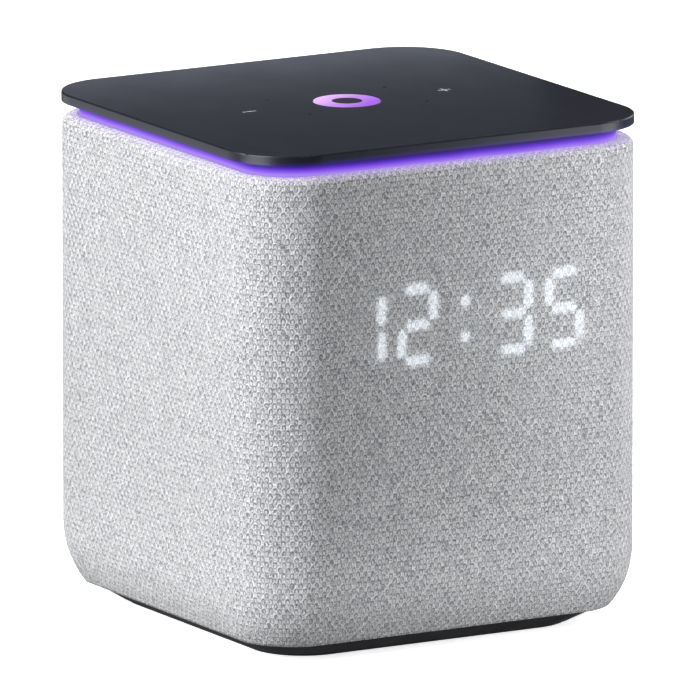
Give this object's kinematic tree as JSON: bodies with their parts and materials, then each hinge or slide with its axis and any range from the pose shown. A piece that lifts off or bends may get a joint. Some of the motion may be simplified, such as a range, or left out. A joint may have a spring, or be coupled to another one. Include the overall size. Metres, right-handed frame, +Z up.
{
  "type": "smart speaker",
  "caption": "Cube-shaped smart speaker with a knit fabric sleeve, a clock glowing through it, a light band under a dark touch plate and a recessed base.",
  "frame": {"origin": "centre of the rubber foot's underside, on the surface the speaker stands on", "axes": "+Z up, the clock face looks towards -Y, +X is to the right seen from the front"},
  "size_m": [0.118, 0.1186, 0.1344],
  "materials": {
    "plate_plastic": "satin dark grey moulded plastic",
    "lit_ring": "translucent light guide, glows lilac",
    "mark_print": "light grey inlay",
    "light_guide": "milky light guide, glows violet",
    "circuit_board": "green solder mask",
    "lamp": "clear resin lamp",
    "metal_can": "tinned steel",
    "soft_seal": "closed-cell foam rubber",
    "frame_plastic": "black moulded plastic",
    "screw_steel": "zinc-plated steel",
    "sleeve_knit": "light grey open knit over a pale lining",
    "shell_plastic": "grey moulded plastic",
    "segment_light": "milky light pipes",
    "enclosure_plastic": "black ribbed plastic",
    "motor_steel": "plated steel",
    "ferrite": "sintered ferrite",
    "cone_paper": "pressed paper pulp",
    "coil_copper": "enamelled copper wire",
    "spider_cloth": "treated cotton",
    "roll_rubber": "butyl rubber",
    "dome_silk": "coated silk",
    "sink_aluminium": "extruded aluminium",
    "chip_black": "moulded epoxy",
    "ribbon_film": "polyimide film",
    "contact_metal": "nickel-plated",
    "base_plastic": "black satin plastic",
    "foot_rubber": "soft rubber",
    "button_plastic": "grey satin plastic"
  },
  "bodies": {
    "housing": {"top_plate": "plate_plastic", "activation_ring": "lit_ring", "ring_centre_cap": "plate_plastic", "volume_marks": "mark_print", "light_guide": "light_guide", "light_board": "circuit_board", "light_board_lamps": "lamp", "touch_board": "circuit_board", "microphones": "metal_can", "microphone_gaskets": "soft_seal", "icon_lamps": "lamp", "top_frame": "frame_plastic", "deck_screws": "screw_steel", "fabric_sleeve": "sleeve_knit", "grille_shell": "shell_plastic", "display_mask": "chip_black", "clock_segments": "segment_light", "display_board": "circuit_board", "baffle": "enclosure_plastic", "rear_tub": "enclosure_plastic", "seam_gasket": "soft_seal", "seam_screws": "screw_steel", "woofer_basket": "motor_steel", "woofer_screws": "screw_steel", "woofer_front_steel": "motor_steel", "woofer_magnet": "ferrite", "woofer_yoke": "motor_steel", "woofer_spider": "spider_cloth", "woofer_surround": "roll_rubber", "tweeter_housing": "enclosure_plastic", "tweeter_magnet": "ferrite", "tweeter_surround": "roll_rubber", "main_board": "circuit_board", "board_screws": "screw_steel", "processor_shield": "metal_can", "heat_sink": "sink_aluminium", "board_components": "chip_black", "ribbon_connector": "chip_black", "touch_ribbon": "ribbon_film", "rear_panel": "base_plastic", "power_jack": "chip_black", "jack_pin": "contact_metal", "mute_switch": "chip_black", "base_dish": "base_plastic", "base_screws": "screw_steel", "rubber_foot": "foot_rubber", "left_radiator_frame": "motor_steel", "left_radiator_screws": "screw_steel", "left_radiator_surround": "roll_rubber", "right_radiator_frame": "motor_steel", "right_radiator_screws": "screw_steel", "right_radiator_surround": "roll_rubber"},
    "woofer_cone": {"woofer_cone": "cone_paper", "voice_coil": "coil_copper"},
    "tweeter_dome": {"tweeter_dome": "dome_silk"},
    "left_radiator": {"left_radiator_plate": "cone_paper"},
    "right_radiator": {"right_radiator_plate": "cone_paper"},
    "mute_button": {"mute_button": "button_plastic"}
  },
  "joints": [
    {"name": "woofer_stroke", "type": "slide", "parent": "housing", "child": "woofer_cone", "axis": [0, -1, 0], "range_m": [-0.0025, 0.0025], "stiffness_N_per_m": 1200, "deforming": ["woofer_surround", "woofer_spider"]},
    {"name": "tweeter_stroke", "type": "slide", "parent": "housing", "child": "tweeter_dome", "axis": [0, -1, 0], "range_m": [-0.0002, 0.0002], "stiffness_N_per_m": 2500, "deforming": ["tweeter_surround"]},
    {"name": "left_radiator_stroke", "type": "slide", "parent": "housing", "child": "left_radiator", "axis": [-1, 0, 0], "range_m": [-0.0025, 0.0025], "stiffness_N_per_m": 900, "deforming": ["left_radiator_surround"]},
    {"name": "right_radiator_stroke", "type": "slide", "parent": "housing", "child": "right_radiator", "axis": [1, 0, 0], "range_m": [-0.0025, 0.0025], "stiffness_N_per_m": 900, "deforming": ["right_radiator_surround"]},
    {"name": "mute_button_press", "type": "slide", "parent": "housing", "child": "mute_button", "axis": [0, -1, 0], "range_m": [0, 0.0006], "stiffness_N_per_m": 500}
  ]
}
